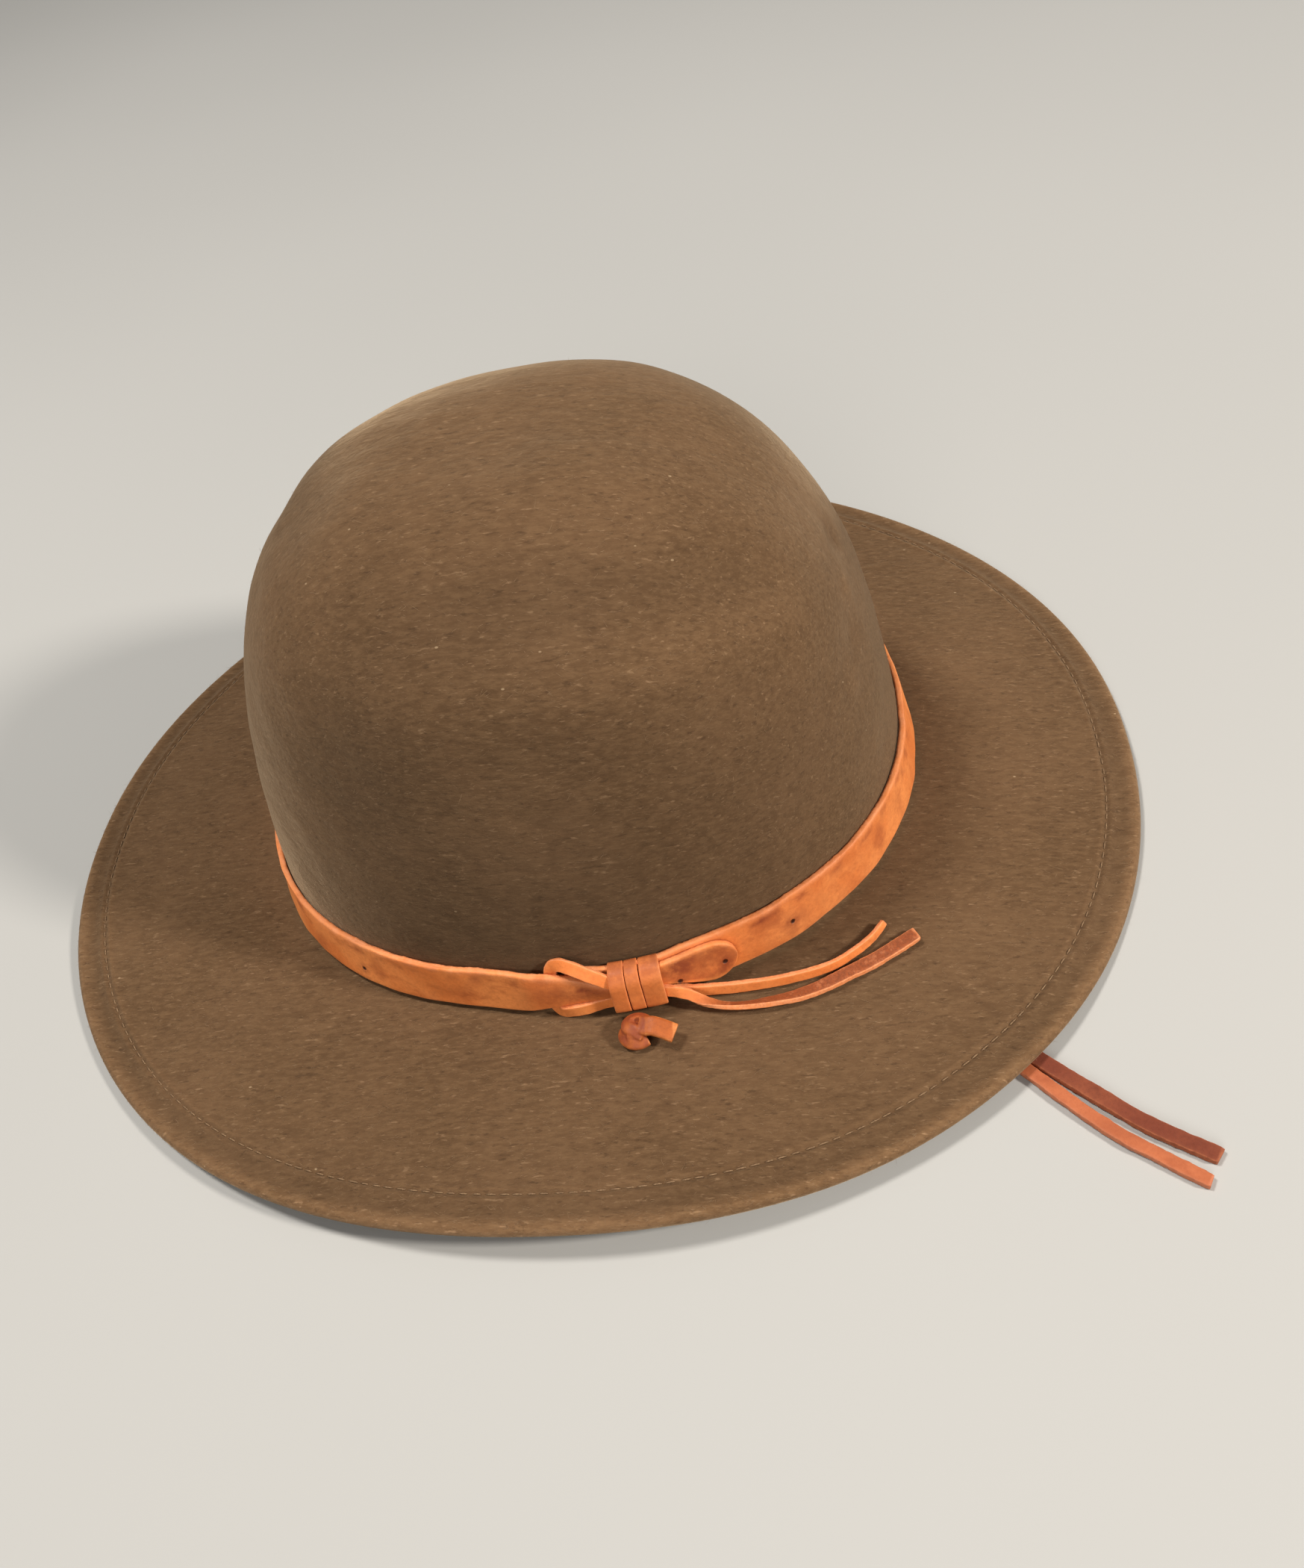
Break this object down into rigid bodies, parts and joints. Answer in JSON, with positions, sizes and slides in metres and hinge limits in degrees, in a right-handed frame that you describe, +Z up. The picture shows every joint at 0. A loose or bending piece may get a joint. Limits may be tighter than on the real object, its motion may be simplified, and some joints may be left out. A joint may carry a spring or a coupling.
{
  "type": "safari hat",
  "caption": "Wide-brimmed brown felt safari hat with a round open crown, a stitched hem, a leather band tied with a thong, and a leather chin lace under the brim.",
  "frame": {"origin": "on the resting surface, under the middle of the brim's outline", "axes": "+X to the back of the hat, along its length; -Y to the wearer's left, where the band is tied; +Z up out of the crown"},
  "size_m": [0.3483, 0.3092, 0.1401],
  "materials": {
    "felt": "brown wool felt with fine lighter and darker fibres",
    "band_leather": "smooth tan leather, softly mottled, darker at the cut edges",
    "thong_leather": "smooth tan leather thong with pale cut edges",
    "knot_leather": "burnished tan leather",
    "lace_flesh_side": "rough red-brown flesh side of tan leather"
  },
  "bodies": {
    "root": {"felt_body": "felt", "hat_band": "band_leather", "band_keeper": "band_leather", "bow_loop": "thong_leather", "bow_tail_upper": "thong_leather", "bow_tail_lower": "thong_leather", "brim_knot_left": "knot_leather", "brim_knot_right": "knot_leather", "chin_lace_left": "thong_leather", "chin_lace_right": "lace_flesh_side", "chin_slide": "knot_leather"}
  },
  "joints": []
}
